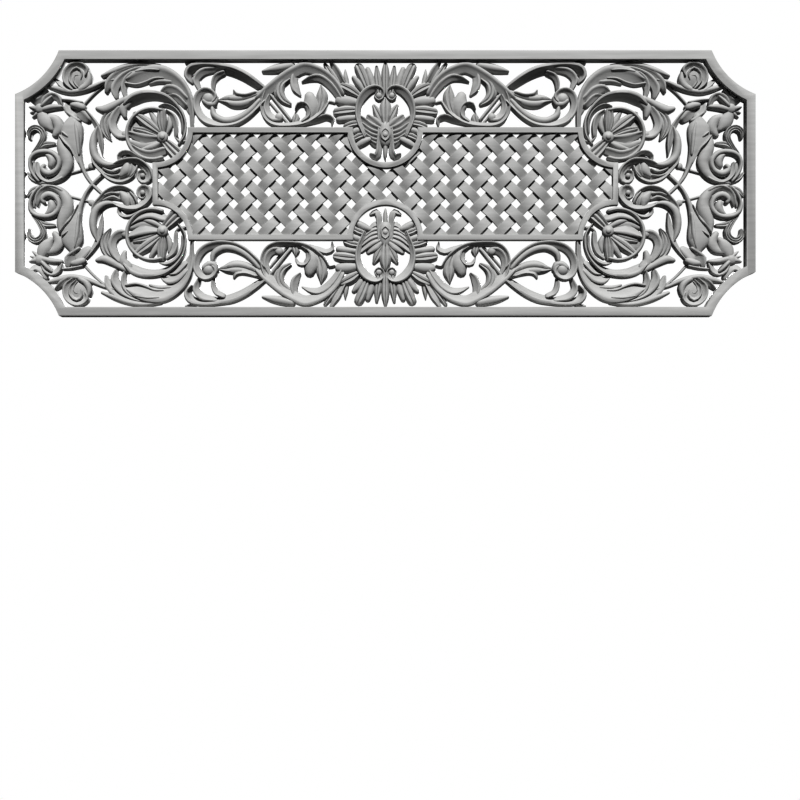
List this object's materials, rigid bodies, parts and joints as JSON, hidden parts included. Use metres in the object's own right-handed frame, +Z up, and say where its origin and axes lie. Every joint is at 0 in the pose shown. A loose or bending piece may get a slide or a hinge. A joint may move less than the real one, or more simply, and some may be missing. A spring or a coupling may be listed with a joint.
{
  "type": "fretwork grille panel",
  "caption": "Long carved fretwork grille with bitten-in corners: a flat frame round pierced acanthus scrollwork, and a woven lattice in a narrow inner frame.",
  "frame": {"origin": "on the back of the outer frame's top rail, in the middle of its width, where the panel is fixed up", "axes": "+X along the panel's length, to the right seen from the front; +Y to the wall; +Z up. The back is in the plane y = 0 and the carving faces -Y"},
  "size_m": [1, 0.0193, 0.3586],
  "materials": {
    "primed_wood": "matt light grey primer over close-grained wood"
  },
  "bodies": {
    "root": {"outer_frame": "primed_wood", "carved_scrollwork": "primed_wood", "inner_frame": "primed_wood", "woven_lattice": "primed_wood"}
  },
  "joints": []
}
